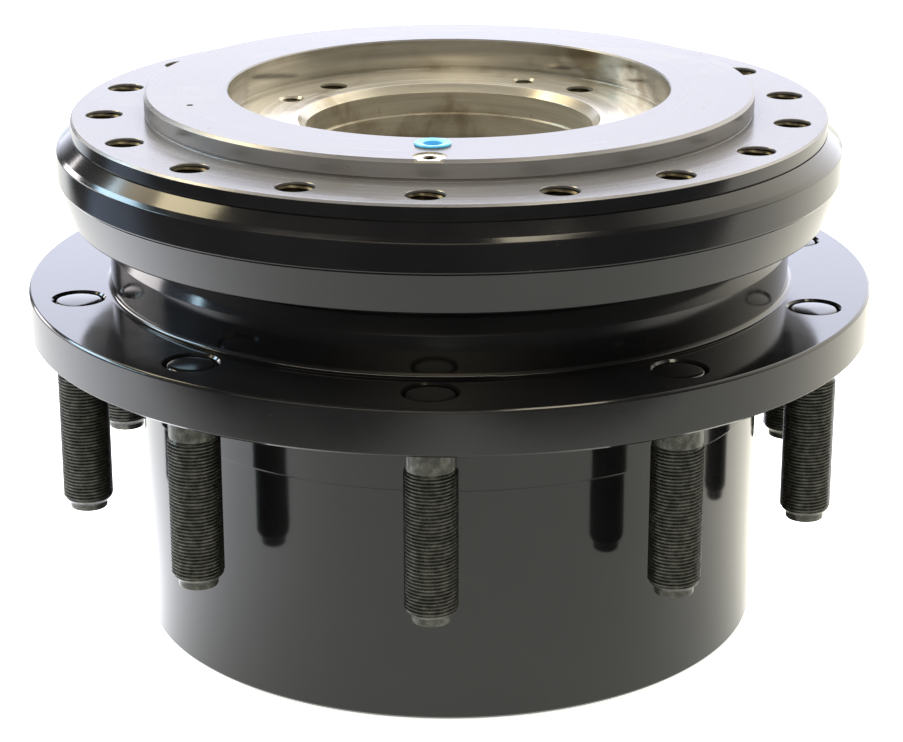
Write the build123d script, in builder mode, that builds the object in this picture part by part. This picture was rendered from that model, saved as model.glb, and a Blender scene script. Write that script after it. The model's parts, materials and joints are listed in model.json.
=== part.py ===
from build123d import *
from math import acos, cos, pi, radians, sin, tan
import os

os.makedirs("parts", exist_ok=True)

# A planetary wheel drive gearbox for a hydraulic plug-in motor, in millimetres.
# The axis is Z. The end cover is at the bottom, and the frame flange with the empty motor seat on top.
# The spindle stands still; the hub and its ring gear turn about it on two taper roller bearings.

# Wheel side
stud_count = 10
stud_circle_r = 167.5
stud_r = 11.0
stud_tip_z = 59.4
wheel_pilot_r = 140.4
wheel_pilot_foot_z = 103.4
barrel_r = 139.6
barrel_bore_r = 128.0
flange_r = 188.0
flange_top_z = 156.4
flange_bottom_z = 136.6
neck_r = 151.5
neck_top_z = 208.0
neck_top_r = 145.7
neck_bevel_z = (174.0, 184.0)
neck_fillet_r = 2.5
hub_rest_angle = 0.9

# Frame side
spindle_top_z = 241.0
frame_face_z = 231.7
frame_face_r = 166.3
frame_pilot_r = 134.1
frame_hole_count = 18
frame_hole_circle_r = 151.5
frame_hole_r = 7.0
frame_hole_depth = 19.0
collar_r = 173.0
collar_foot_z = 188.0

# Motor seat
motor_pilot_r = 97.4
motor_floor_z = 226.4
motor_bore_r = 63.5
motor_hole_circle_r = 80.95
motor_hole_r = 6.35
motor_hole_depth = 24.0
guard_hole_circle_r = 80.0
guard_hole_r = 3.4
guard_hole_depth = 16.0
port_r = 109.1
plug_top_z = 242.2
vent_r = 128.0
pin_hole_r = 1.5
pin_hole_circle_r = 117.4
pin_hole_angle = 203.1

# Main bearings and face seal
trunnion_r = 95.0
trunnion_foot_z = 106.0
bearing_width = 31.5
lower_bearing_z = 114.5
upper_bearing_z = 160.0
main_roller_count = 36
seal_plane_z = 205.5
seal_socket_r = 133.5
running_gap = 0.15

# Gears
module = 3.75
pressure = radians(25)
flank_thinning = 0.16
ring_teeth = 60
output_planet_teeth = 20
output_sun_teeth = 20
input_planet_teeth = 24
input_sun_teeth = 12
output_planets = 4
input_planets = 3
output_orbit_r = module * (output_sun_teeth + output_planet_teeth) / 2
input_orbit_r = module * (input_sun_teeth + input_planet_teeth) / 2
ring_gear_z = (15.0, 101.0)
output_gear_z = (59.0, 91.0)
input_gear_z = (18.0, 37.0)
output_pin_r = 15.0
input_pin_r = 11.0
input_plate_z = (39.0, 46.0)
lower_plate_z = (48.0, 57.0)
upper_plate_z = (93.0, trunnion_foot_z)
carrier_r = 104.0
carrier_screw_circle_r = 88.4
carrier_screw_angles = (20, 70)
shaft_r = 15.0

# Brake
brake_large_r = 80.0
brake_small_r = 72.0
brake_step_z = 138.0
brake_shoulder_z = 172.0
piston_top_z = 151.0
piston_bottom_z = 119.5
spring_seat_z = 116.0
spring_circle_r = 63.0
spring_count = 8
sleeve_r = 30.0
steel_plate_count = 4
steel_plate_thickness = 2.6
friction_disc_thickness = 3.0
disc_gap = 0.2
ear_count = 6
ear_r = 4.0


def polar(radius, angle):
    """A point at a radius and an angle in radians."""
    return (radius * cos(angle), radius * sin(angle))


def turn(outline, rounds=(), mode=Mode.ADD):
    """Turn a closed outline of (radius, height) points about Z, with rounds at (corner, radius)."""
    with BuildSketch(Plane.XZ) as section:
        with BuildLine():
            Polyline(outline, close=True)
        make_face()
        for corner, radius in rounds:
            fillet(section.vertices().sort_by_distance(corner)[0], radius)
    revolve(section.sketch, axis=Axis.Z, mode=mode)


def turn_ring(inner_r, outer_r, bottom_z, top_z, mode=Mode.ADD):
    """Turn a plain ring or disc about Z."""
    turn([(inner_r, bottom_z), (outer_r, bottom_z), (outer_r, top_z), (inner_r, top_z)], mode=mode)


def involute(angle):
    return tan(angle) - angle


def tooth_half_angle(radius, teeth, thinning):
    """Half of the angle that an involute tooth takes up at a radius."""
    pitch_r = module * teeth / 2
    flank_angle = acos(min(1.0, pitch_r * cos(pressure) / radius))
    return pi / (2 * teeth) - thinning / (2 * pitch_r) + involute(pressure) - involute(flank_angle)


def toothed_outline(teeth, tip_r, root_r, thinning, clocking, bottom_z):
    """The face of a toothed wheel, with a tooth centred on the angle clocking."""
    flank_start_r = max(root_r, module * teeth / 2 * cos(pressure))
    flank_r = [flank_start_r, (flank_start_r + tip_r) / 2, tip_r]
    spread = [tooth_half_angle(radius, teeth, thinning) for radius in flank_r]
    half_pitch = pi / teeth
    with BuildSketch(Plane.XY.offset(bottom_z)) as wheel:
        with BuildLine():
            for tooth in range(teeth):
                middle = clocking + 2 * half_pitch * tooth
                rise = [polar(r, middle - a) for r, a in zip(flank_r, spread)]
                fall = [polar(r, middle + a) for r, a in zip(flank_r, spread)]
                next_foot = polar(root_r, middle + 2 * half_pitch - spread[0])
                if flank_start_r > root_r:
                    Line(polar(root_r, middle - spread[0]), rise[0])
                    Line(fall[0], polar(root_r, middle + spread[0]))
                ThreePointArc(*rise)
                ThreePointArc(rise[2], polar(tip_r, middle), fall[2])
                ThreePointArc(*reversed(fall))
                root_start = polar(root_r, middle + spread[0])
                ThreePointArc(root_start, polar(root_r, middle + half_pitch), next_foot)
        make_face()
    return wheel.sketch


def gear_outline(teeth, clocking, bottom_z):
    """The face of an external gear."""
    tip_r = module * (teeth / 2 + 1)
    root_r = module * (teeth / 2 - 1.25)
    return toothed_outline(teeth, tip_r, root_r, flank_thinning, clocking, bottom_z)


def planet_clocking(angle, teeth):
    """The angle of a tooth of a planet that stands at an angle and meshes with the ring gear."""
    return angle - ring_teeth * angle / teeth


def sun_clocking(planet_angle, sun_teeth, planet_teeth):
    """The angle of a tooth of the sun gear that meshes with a planet at an angle."""
    return planet_angle + (ring_teeth * planet_angle + (planet_teeth - 1) * pi) / sun_teeth


# ---------------------------------------------------------------- the fixed spindle and what it carries

spindle_outline = [
    (motor_pilot_r, spindle_top_z - 0.6),
    (motor_pilot_r + 0.6, spindle_top_z),
    (frame_pilot_r - 1.3, spindle_top_z),
    (frame_pilot_r, spindle_top_z - 1.3),
    (frame_pilot_r, frame_face_z),
    (frame_face_r - 1.0, frame_face_z),
    (frame_face_r, frame_face_z - 1.0),
    (frame_face_r, 225.4),
    (frame_face_r - 0.9, 225.4),
    (frame_face_r - 0.9, 224.7),
    (frame_face_r, 224.7),
    (collar_r - 1.6, 219.9),
    (collar_r, 218.0),
    (collar_r, 206.4),
    (collar_r - 0.9, 205.6),
    (collar_r - 6, collar_foot_z),
    (neck_r + 4, collar_foot_z),
    (neck_r + 4, neck_top_z + 2),
    (seal_socket_r, neck_top_z + 2),
    (seal_socket_r, 217.0),
    (112.5, 217.0),
    (112.5, upper_bearing_z + bearing_width),
    (trunnion_r, upper_bearing_z + bearing_width),
    (trunnion_r, lower_bearing_z + 1),
    (trunnion_r - 1.5, lower_bearing_z),
    (trunnion_r - 1.5, trunnion_foot_z),
    (brake_large_r + 0.6, trunnion_foot_z),
    (brake_large_r, trunnion_foot_z + 0.6),
    (brake_large_r, 109.5),
    (brake_large_r + 3, 109.5),
    (brake_large_r + 3, 112.7),
    (brake_large_r, 112.7),
    (brake_large_r, brake_step_z),
    (brake_small_r, brake_step_z),
    (brake_small_r, brake_shoulder_z),
    (motor_bore_r - 1.5, brake_shoulder_z),
    (motor_bore_r - 1.5, 213.0),
    (motor_bore_r, 213.0),
    (motor_bore_r, motor_floor_z - 3.4),
    (motor_bore_r + 3.5, motor_floor_z),
    (motor_pilot_r, motor_floor_z),
]

# The brake oil passage: down from the port, inwards at a slant, and down again into the piston chamber
passage_r = 76.0
passage_top = Vector(0, -port_r, 224.0)
passage_turn = Vector(0, -passage_r, 211.0)
passage_slant = Plane(origin=passage_top, z_dir=passage_turn - passage_top)

with BuildPart() as spindle:
    turn(spindle_outline)
    with Locations((0, 0, frame_face_z)):
        with PolarLocations(frame_hole_circle_r, frame_hole_count, start_angle=-90):
            CounterSinkHole(frame_hole_r, frame_hole_r + 0.4, frame_hole_depth, 90)
    with Locations((0, 0, motor_floor_z)):
        with PolarLocations(motor_hole_circle_r, 4, start_angle=45):
            Hole(motor_hole_r, depth=motor_hole_depth)
        with PolarLocations(guard_hole_circle_r, 4, start_angle=67.5):
            CounterSinkHole(guard_hole_r, guard_hole_r + 0.9, guard_hole_depth, 90)
    with Locations((0, -port_r, spindle_top_z)):
        Hole(5.5, depth=12)
        Hole(2.0, depth=spindle_top_z - passage_top.Z)
    with Locations((0, -vent_r, spindle_top_z)):
        Hole(6.7, depth=1.2)
        Hole(2.0, depth=11)
    with Locations((0, 0, spindle_top_z)):
        with PolarLocations(pin_hole_circle_r, 1, start_angle=pin_hole_angle):
            Hole(pin_hole_r, depth=5)
    with BuildSketch(passage_slant):
        Circle(2.0)
    extrude(amount=(passage_turn - passage_top).length, mode=Mode.SUBTRACT)
    with BuildSketch(Plane.XY.offset(brake_step_z)):
        with Locations((0, -passage_r)):
            Circle(2.0)
    extrude(amount=passage_turn.Z - brake_step_z, mode=Mode.SUBTRACT)
    with BuildSketch(Plane.XY.offset(brake_step_z)):
        with PolarLocations(brake_small_r, ear_count):
            Circle(ear_r + 0.4)
    extrude(amount=brake_shoulder_z - brake_step_z, mode=Mode.SUBTRACT)
    with BuildSketch(Plane.XY.offset(trunnion_foot_z)):
        for first_angle in carrier_screw_angles:
            with PolarLocations(carrier_screw_circle_r, 4, start_angle=first_angle):
                Circle(4.0)
    extrude(amount=16, mode=Mode.SUBTRACT)
spindle.part.label = "spindle"
export_step(spindle.part, "parts/spindle.step")

# The plastic plug that keeps dirt out of the brake port
with BuildPart() as port_plug:
    with BuildSketch(Plane.XY.offset(spindle_top_z)):
        with Locations((0, -port_r)):
            Circle(7.6)
    extrude(amount=plug_top_z - spindle_top_z)
    fillet(port_plug.edges().group_by(Axis.Z)[-1], 0.6)
    with BuildSketch(Plane.XY.offset(spindle_top_z)):
        with Locations((0, -port_r)):
            Circle(5.4)
    extrude(amount=-8)
    with Locations((0, -port_r, plug_top_z)):
        Hole(3.8, depth=6)
port_plug.part.label = "port_plug"
export_step(port_plug.part, "parts/port_plug.step")

with BuildPart() as bearing_nut:
    turn_ring(trunnion_r - 1.5, 104.0, trunnion_foot_z + 0.8, lower_bearing_z)
    with BuildSketch(Plane.XY.offset(trunnion_foot_z)):
        with PolarLocations(104.0, 8):
            Rectangle(7, 9)
    extrude(amount=4, mode=Mode.SUBTRACT)
bearing_nut.part.label = "bearing_nut"
export_step(bearing_nut.part, "parts/bearing_nut.step")


def bearing_point(back_z, direction, radius, depth):
    """A point of a bearing's section, at a depth from the back face of its inner ring."""
    return (radius, back_z + direction * depth)


def turn_bearing_inner(back_z, direction):
    """The inner ring of a taper roller bearing: bore, raceway, and a rib at the rollers' large ends."""
    section = [(95.0, 0), (110.0, 0), (110.0, 4.5), (106.4, 5.0), (102.0, 26.5), (102.0, 28.5), (95.0, 28.5)]
    turn([bearing_point(back_z, direction, radius, depth) for radius, depth in section])


def turn_bearing_outer(back_z, direction):
    """The outer ring of a taper roller bearing."""
    section = [(120.4, 3.0), (128.0, 3.0), (128.0, bearing_width), (114.2, bearing_width), (114.2, 27.0)]
    turn([bearing_point(back_z, direction, radius, depth) for radius, depth in section])


# The rollers lie between the raceways: the inner one leans by about 11.6 degrees, the outer by about 14.5
roller_lean = 13.05
roller_large_r = 6.35
roller_small_r = 5.86
roller_length = 20.0
roller_centre = (110.46, 16.6)


def add_rollers(back_z, direction, extra_r=0.0, mode=Mode.ADD):
    """The ring of taper rollers, or the pockets for it when extra_r is the clearance."""
    radius, depth = roller_centre
    place = Location((radius, 0, back_z + direction * depth), (0, -direction * roller_lean, 0))
    sizes = (roller_large_r + extra_r, roller_small_r + extra_r)
    bottom_r, top_r = sizes if direction > 0 else sizes[::-1]
    with PolarLocations(0, main_roller_count):
        with Locations(place):
            Cone(bottom_r, top_r, roller_length + 2 * extra_r, mode=mode)


def turn_cage(back_z, direction):
    """The cone-shaped cage between the rings, before its pockets are cut."""
    section = [(114.6, 4.0), (116.8, 4.0), (110.6, 28.6), (108.4, 28.6)]
    turn([bearing_point(back_z, direction, radius, depth) for radius, depth in section])


with BuildPart() as lower_bearing_inner:
    turn_bearing_inner(lower_bearing_z, 1)
lower_bearing_inner.part.label = "lower_bearing_inner"
export_step(lower_bearing_inner.part, "parts/lower_bearing_inner.step")

with BuildPart() as upper_bearing_inner:
    turn_bearing_inner(upper_bearing_z + bearing_width, -1)
upper_bearing_inner.part.label = "upper_bearing_inner"
export_step(upper_bearing_inner.part, "parts/upper_bearing_inner.step")

with BuildPart() as lower_bearing_outer:
    turn_bearing_outer(lower_bearing_z, 1)
lower_bearing_outer.part.label = "lower_bearing_outer"
export_step(lower_bearing_outer.part, "parts/lower_bearing_outer.step")

with BuildPart() as upper_bearing_outer:
    turn_bearing_outer(upper_bearing_z + bearing_width, -1)
upper_bearing_outer.part.label = "upper_bearing_outer"
export_step(upper_bearing_outer.part, "parts/upper_bearing_outer.step")

with BuildPart() as lower_bearing_rollers:
    add_rollers(lower_bearing_z, 1)
lower_bearing_rollers.part.label = "lower_bearing_rollers"
export_step(lower_bearing_rollers.part, "parts/lower_bearing_rollers.step")

with BuildPart() as upper_bearing_rollers:
    add_rollers(upper_bearing_z + bearing_width, -1)
upper_bearing_rollers.part.label = "upper_bearing_rollers"
export_step(upper_bearing_rollers.part, "parts/upper_bearing_rollers.step")

with BuildPart() as lower_bearing_cage:
    turn_cage(lower_bearing_z, 1)
    add_rollers(lower_bearing_z, 1, extra_r=0.3, mode=Mode.SUBTRACT)
lower_bearing_cage.part.label = "lower_bearing_cage"
export_step(lower_bearing_cage.part, "parts/lower_bearing_cage.step")

with BuildPart() as upper_bearing_cage:
    turn_cage(upper_bearing_z + bearing_width, -1)
    add_rollers(upper_bearing_z + bearing_width, -1, extra_r=0.3, mode=Mode.SUBTRACT)
upper_bearing_cage.part.label = "upper_bearing_cage"
export_step(upper_bearing_cage.part, "parts/upper_bearing_cage.step")


def turn_seal_ring(direction):
    """A lapped metal ring of the face seal, on one side of the sealing plane."""
    section = [(118.0, 0.1), (131.5, 0.1), (131.5, 2.1), (125.5, 3.1), (124.5, 10.0), (118.0, 10.0)]
    turn([(radius, seal_plane_z + direction * depth) for radius, depth in section])


def turn_toric(direction):
    """The rubber ring that holds a seal ring in its socket."""
    with BuildSketch(Plane.XZ) as section:
        with Locations((129.2, seal_plane_z + direction * 7.0)):
            Circle(4.0)
    revolve(section.sketch, axis=Axis.Z)


with BuildPart() as fixed_seal_ring:
    turn_seal_ring(1)
fixed_seal_ring.part.label = "fixed_seal_ring"
export_step(fixed_seal_ring.part, "parts/fixed_seal_ring.step")

with BuildPart() as fixed_toric:
    turn_toric(1)
fixed_toric.part.label = "fixed_toric"
export_step(fixed_toric.part, "parts/fixed_toric.step")

with BuildPart() as turning_seal_ring:
    turn_seal_ring(-1)
turning_seal_ring.part.label = "turning_seal_ring"
export_step(turning_seal_ring.part, "parts/turning_seal_ring.step")

with BuildPart() as turning_toric:
    turn_toric(-1)
turning_toric.part.label = "turning_toric"
export_step(turning_toric.part, "parts/turning_toric.step")

# ---------------------------------------------------------------- the brake

with BuildPart() as brake_piston:
    turn([
        (44.0, piston_bottom_z),
        (brake_large_r - 0.08, piston_bottom_z),
        (brake_large_r - 0.08, brake_step_z - 2),
        (brake_small_r - 0.08, brake_step_z - 2),
        (brake_small_r - 0.08, piston_top_z),
        (44.0, piston_top_z),
    ])
    turn_ring(brake_large_r - 3, brake_large_r, 126.0, 129.6, mode=Mode.SUBTRACT)
    turn_ring(brake_small_r - 3, brake_small_r, 142.0, 145.6, mode=Mode.SUBTRACT)
    with BuildSketch(Plane.XY.offset(piston_bottom_z)):
        with PolarLocations(spring_circle_r, spring_count):
            Circle(8.8)
    extrude(amount=12, mode=Mode.SUBTRACT)
brake_piston.part.label = "brake_piston"
export_step(brake_piston.part, "parts/brake_piston.step")

with BuildPart() as piston_seals:
    for cylinder_r, seal_z in ((brake_large_r, 127.8), (brake_small_r, 143.8)):
        with BuildSketch(Plane.XZ) as seal_section:
            with Locations((cylinder_r - 1.6, seal_z)):
                Circle(1.35)
        revolve(seal_section.sketch, axis=Axis.Z)
piston_seals.part.label = "piston_seals"
export_step(piston_seals.part, "parts/piston_seals.step")

with BuildPart() as spring_seat:
    turn_ring(50.0, brake_large_r - 0.1, 112.8, spring_seat_z)
spring_seat.part.label = "spring_seat"
export_step(spring_seat.part, "parts/spring_seat.step")

with BuildPart() as brake_snap_ring:
    turn_ring(74.0, brake_large_r + 2.9, 109.7, 112.5)
    with BuildSketch(Plane.XY.offset(109.0)):
        with Locations((78.0, 0)):
            Rectangle(14, 12)
    extrude(amount=5, mode=Mode.SUBTRACT)
brake_snap_ring.part.label = "brake_snap_ring"
export_step(brake_snap_ring.part, "parts/brake_snap_ring.step")

# One coil spring of three turns, from the seat to the end of its pocket in the piston
spring_wire_r = 1.5
spring_length = piston_bottom_z + 12 - spring_seat_z
spring_rise = spring_length - 2 * spring_wire_r - 0.3
with BuildPart() as one_spring:
    with BuildLine() as coil:
        Helix(pitch=spring_rise / 3, height=spring_rise, radius=6.0)
    with BuildSketch(Plane(origin=coil.line @ 0, z_dir=coil.line % 0)):
        Circle(spring_wire_r)
    sweep(path=coil.line)

with BuildPart() as brake_springs:
    with Locations((0, 0, spring_seat_z + spring_wire_r + 0.1)):
        with PolarLocations(spring_circle_r, spring_count):
            add(one_spring.part)
brake_springs.part.label = "brake_springs"
export_step(brake_springs.part, "parts/brake_springs.step")

disc_pitch = steel_plate_thickness + friction_disc_thickness + 2 * disc_gap
with BuildPart() as steel_plates:
    for plate in range(steel_plate_count):
        plate_z = piston_top_z + disc_gap + plate * disc_pitch
        with BuildSketch(Plane.XY.offset(plate_z)):
            Circle(brake_small_r - 0.3)
            with PolarLocations(brake_small_r, ear_count):
                Circle(ear_r)
            Circle(34, mode=Mode.SUBTRACT)
        extrude(amount=steel_plate_thickness)
steel_plates.part.label = "steel_plates"
export_step(steel_plates.part, "parts/steel_plates.step")

with BuildPart() as friction_discs:
    for disc in range(steel_plate_count - 1):
        disc_z = piston_top_z + 2 * disc_gap + steel_plate_thickness + disc * disc_pitch
        with BuildSketch(Plane.XY.offset(disc_z)):
            Circle(68.0)
            Circle(sleeve_r, mode=Mode.SUBTRACT)
        extrude(amount=friction_disc_thickness)
friction_discs.part.label = "friction_discs"
export_step(friction_discs.part, "parts/friction_discs.step")

with BuildPart() as coupling_sleeve:
    turn([
        (shaft_r, 146.0),
        (sleeve_r - 4, 146.0),
        (sleeve_r, 150.0),
        (sleeve_r, 173.0),
        (24.0, 176.0),
        (24.0, 195.0),
        (23.0, 196.0),
        (14.0, 196.0),
        (13.0, 195.0),
        (13.0, 168.4),
        (shaft_r, 168.4),
    ])
    with BuildSketch(Plane.XY.offset(169.0)):
        with PolarLocations(13.0, 16):
            Circle(1.2)
    extrude(amount=28, mode=Mode.SUBTRACT)
coupling_sleeve.part.label = "coupling_sleeve"
export_step(coupling_sleeve.part, "parts/coupling_sleeve.step")

# ---------------------------------------------------------------- the gear train

input_first_angle = radians(30)

with BuildPart() as input_shaft:
    turn([(0, 17.4), (14.5, 17.4), (shaft_r, 17.9), (shaft_r, 167.0), (14.0, 168.0), (0, 168.0)])
    extrude(
        gear_outline(
            input_sun_teeth,
            sun_clocking(input_first_angle, input_sun_teeth, input_planet_teeth),
            input_gear_z[0],
        ),
        amount=input_gear_z[1] - input_gear_z[0],
    )
input_shaft.part.label = "input_shaft"
export_step(input_shaft.part, "parts/input_shaft.step")

output_sun_clocking = sun_clocking(0, output_sun_teeth, output_planet_teeth)
with BuildPart() as output_sun:
    extrude(
        gear_outline(output_sun_teeth, output_sun_clocking, output_gear_z[0]),
        amount=output_gear_z[1] - output_gear_z[0],
    )
    turn_ring(0, 30.0, input_plate_z[1], output_gear_z[0])
    turn_ring(0, 24.0, input_plate_z[0] - 0.6, input_plate_z[1])
    turn_ring(0, 19.0, input_plate_z[0] - 1, output_gear_z[1] + 1, mode=Mode.SUBTRACT)
output_sun.part.label = "output_sun"
export_step(output_sun.part, "parts/output_sun.step")

with BuildPart() as input_carrier:
    turn_ring(24.0, 84.0, *input_plate_z)
    with BuildSketch(Plane.XY.offset(input_plate_z[0])):
        with PolarLocations(input_orbit_r, input_planets, start_angle=30):
            Circle(input_pin_r)
        with PolarLocations(58.0, input_planets, start_angle=90):
            Circle(14.0)
    extrude(amount=input_plate_z[1] - input_plate_z[0], mode=Mode.SUBTRACT)
    chamfer(input_carrier.edges().filter_by(GeomType.CIRCLE).sort_by(SortBy.RADIUS)[-2:], 1.0)
input_carrier.part.label = "input_carrier"
export_step(input_carrier.part, "parts/input_carrier.step")

pin_head_z = (15.9, 17.7)
with BuildPart() as input_pins:
    with BuildSketch(Plane.XY.offset(pin_head_z[0])):
        with PolarLocations(input_orbit_r, input_planets, start_angle=30):
            Circle(input_pin_r)
    extrude(amount=input_plate_z[1] - pin_head_z[0])
    with BuildSketch(Plane.XY.offset(pin_head_z[0])):
        with PolarLocations(input_orbit_r, input_planets, start_angle=30):
            Circle(14.0)
    extrude(amount=pin_head_z[1] - pin_head_z[0])
input_pins.part.label = "input_pins"
export_step(input_pins.part, "parts/input_pins.step")

with BuildPart() as output_pins:
    with BuildSketch(Plane.XY.offset(lower_plate_z[0] + 0.5)):
        with PolarLocations(output_orbit_r, output_planets):
            Circle(output_pin_r)
    extrude(amount=upper_plate_z[1] - lower_plate_z[0] - 1)
output_pins.part.label = "output_pins"
export_step(output_pins.part, "parts/output_pins.step")

washer_thickness = 1.6
with BuildPart() as output_washers:
    for washer_z in (lower_plate_z[1] + 0.15, upper_plate_z[0] - 0.15 - washer_thickness):
        with BuildSketch(Plane.XY.offset(washer_z)):
            with PolarLocations(output_orbit_r, output_planets):
                Circle(25.0)
                Circle(output_pin_r + 0.2, mode=Mode.SUBTRACT)
        extrude(amount=washer_thickness)
output_washers.part.label = "output_washers"
export_step(output_washers.part, "parts/output_washers.step")

with BuildPart() as input_washers:
    with BuildSketch(Plane.XY.offset(input_gear_z[1] + 0.2)):
        with PolarLocations(input_orbit_r, input_planets, start_angle=30):
            Circle(19.0)
            Circle(input_pin_r + 0.2, mode=Mode.SUBTRACT)
    extrude(amount=washer_thickness)
input_washers.part.label = "input_washers"
export_step(input_washers.part, "parts/input_washers.step")

with BuildPart() as output_carrier:
    turn_ring(45.0, carrier_r, *lower_plate_z)
    turn_ring(45.0, carrier_r, *upper_plate_z)
    with BuildSketch(Plane.XY.offset(lower_plate_z[1])):
        with PolarLocations(88.0, output_planets, start_angle=45):
            Circle(14.0)
    extrude(amount=upper_plate_z[0] - lower_plate_z[1])
    with BuildSketch(Plane.XY.offset(lower_plate_z[0])):
        with PolarLocations(output_orbit_r, output_planets):
            Circle(output_pin_r)
    extrude(amount=upper_plate_z[1] - lower_plate_z[0], mode=Mode.SUBTRACT)
    for first_angle in carrier_screw_angles:
        with BuildSketch(Plane.XY.offset(upper_plate_z[0])):
            with PolarLocations(carrier_screw_circle_r, 4, start_angle=first_angle):
                Circle(7.0)
        extrude(amount=8.5, mode=Mode.SUBTRACT)
        with BuildSketch(Plane.XY.offset(upper_plate_z[0])):
            with PolarLocations(carrier_screw_circle_r, 4, start_angle=first_angle):
                Circle(4.4)
        extrude(amount=upper_plate_z[1] - upper_plate_z[0], mode=Mode.SUBTRACT)
output_carrier.part.label = "output_carrier"
export_step(output_carrier.part, "parts/output_carrier.step")

with BuildPart() as one_screw:
    turn_ring(0, 6.5, upper_plate_z[0] + 0.5, upper_plate_z[0] + 8.5)
    turn_ring(0, 4.0, upper_plate_z[0] + 8.5, trunnion_foot_z + 14)
    with BuildSketch(Plane.XY.offset(upper_plate_z[0] + 0.5)):
        RegularPolygon(3.0, 6, major_radius=False)
    extrude(amount=4, mode=Mode.SUBTRACT)

with BuildPart() as carrier_screws:
    for first_angle in carrier_screw_angles:
        with PolarLocations(carrier_screw_circle_r, 4, start_angle=first_angle):
            add(one_screw.part)
carrier_screws.part.label = "carrier_screws"
export_step(carrier_screws.part, "parts/carrier_screws.step")

output_needle_r = 2.35
input_needle_r = 1.85
for number in range(output_planets):
    planet_angle = 2 * pi * number / output_planets
    planet_axis = polar(output_orbit_r, planet_angle)
    with BuildPart() as output_planet:
        with Locations(planet_axis):
            add(
                extrude(
                    gear_outline(
                        output_planet_teeth,
                        planet_clocking(planet_angle, output_planet_teeth),
                        output_gear_z[0],
                    ),
                    amount=output_gear_z[1] - output_gear_z[0],
                    mode=Mode.PRIVATE,
                )
            )
        with Locations((*planet_axis, output_gear_z[1])):
            Hole(output_pin_r + 5)
    output_planet.part.label = f"output_planet_{number + 1}"
    export_step(output_planet.part, f"parts/output_planet_{number + 1}.step")
    with BuildPart() as output_needles:
        with BuildSketch(Plane.XY.offset(output_gear_z[0] + 2)):
            with Locations(planet_axis):
                with PolarLocations(output_pin_r + 2.5, 20):
                    Circle(output_needle_r)
        extrude(amount=output_gear_z[1] - output_gear_z[0] - 4)
    output_needles.part.label = f"output_needles_{number + 1}"
    export_step(output_needles.part, f"parts/output_needles_{number + 1}.step")

for number in range(input_planets):
    planet_angle = input_first_angle + 2 * pi * number / input_planets
    planet_axis = polar(input_orbit_r, planet_angle)
    with BuildPart() as input_planet:
        with Locations(planet_axis):
            add(
                extrude(
                    gear_outline(
                        input_planet_teeth,
                        planet_clocking(planet_angle, input_planet_teeth),
                        input_gear_z[0],
                    ),
                    amount=input_gear_z[1] - input_gear_z[0],
                    mode=Mode.PRIVATE,
                )
            )
        with Locations((*planet_axis, input_gear_z[1])):
            Hole(input_pin_r + 4)
    input_planet.part.label = f"input_planet_{number + 1}"
    export_step(input_planet.part, f"parts/input_planet_{number + 1}.step")
    with BuildPart() as input_needles:
        with BuildSketch(Plane.XY.offset(input_gear_z[0] + 1.5)):
            with Locations(planet_axis):
                with PolarLocations(input_pin_r + 2, 18):
                    Circle(input_needle_r)
        extrude(amount=input_gear_z[1] - input_gear_z[0] - 3)
    input_needles.part.label = f"input_needles_{number + 1}"
    export_step(input_needles.part, f"parts/input_needles_{number + 1}.step")

# ---------------------------------------------------------------- the turning hub

cover_groove_z = (2.5, 5.5)
wheel_hub_outline = [
    (barrel_bore_r + 0.8, 0.0),
    (barrel_r - 1.5, 0.0),
    (barrel_r, 1.5),
    (barrel_r, wheel_pilot_foot_z),
    (wheel_pilot_r, wheel_pilot_foot_z + 0.8),
    (wheel_pilot_r, flange_bottom_z),
    (flange_r - 1, flange_bottom_z),
    (flange_r, flange_bottom_z + 1),
    (flange_r, flange_top_z - 1),
    (flange_r - 1, flange_top_z),
    (neck_r, flange_top_z),
    (neck_r, neck_bevel_z[0]),
    (neck_top_r, neck_bevel_z[1]),
    (neck_top_r, neck_top_z - 1),
    (neck_top_r - 1, neck_top_z),
    (seal_socket_r, neck_top_z),
    (seal_socket_r, 193.0),
    (barrel_bore_r, 193.0),
    (barrel_bore_r, upper_bearing_z),
    (120.0, upper_bearing_z),
    (120.0, lower_bearing_z + bearing_width),
    (barrel_bore_r, lower_bearing_z + bearing_width),
    (barrel_bore_r, cover_groove_z[1]),
    (barrel_bore_r + 3, cover_groove_z[1]),
    (barrel_bore_r + 3, cover_groove_z[0]),
    (barrel_bore_r, cover_groove_z[0]),
    (barrel_bore_r, 0.8),
]
stud_first_angle = hub_rest_angle - 90
dowel_r = 4.0
dowel_count = 6

with BuildPart() as wheel_hub:
    turn(
        wheel_hub_outline,
        rounds=[((neck_r, flange_top_z), neck_fillet_r), ((wheel_pilot_r, flange_bottom_z), 1.2)],
    )
    with Locations((0, 0, flange_top_z)):
        with PolarLocations(stud_circle_r, stud_count, start_angle=stud_first_angle):
            CounterSinkHole(stud_r, stud_r + 0.8, counter_sink_angle=90)
    with BuildSketch(Plane.XY.offset(ring_gear_z[0])):
        with PolarLocations(barrel_bore_r, dowel_count, start_angle=hub_rest_angle):
            Circle(dowel_r)
    extrude(amount=40, mode=Mode.SUBTRACT)
wheel_hub.part.label = "wheel_hub"
export_step(wheel_hub.part, "parts/wheel_hub.step")

with BuildPart() as one_stud:
    turn([
        (0, stud_tip_z),
        (8.25, stud_tip_z),
        (8.25, stud_tip_z + 2.8),
        (stud_r, stud_tip_z + 5.2),
        (stud_r, flange_bottom_z - 12),
        (stud_r - 0.65, flange_bottom_z - 11),
        (stud_r - 0.65, flange_bottom_z - 0.5),
        (stud_r, flange_bottom_z),
        (stud_r, flange_top_z - 2.6),
        (8.6, flange_top_z - 0.2),
        (0, flange_top_z - 0.2),
    ])

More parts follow.
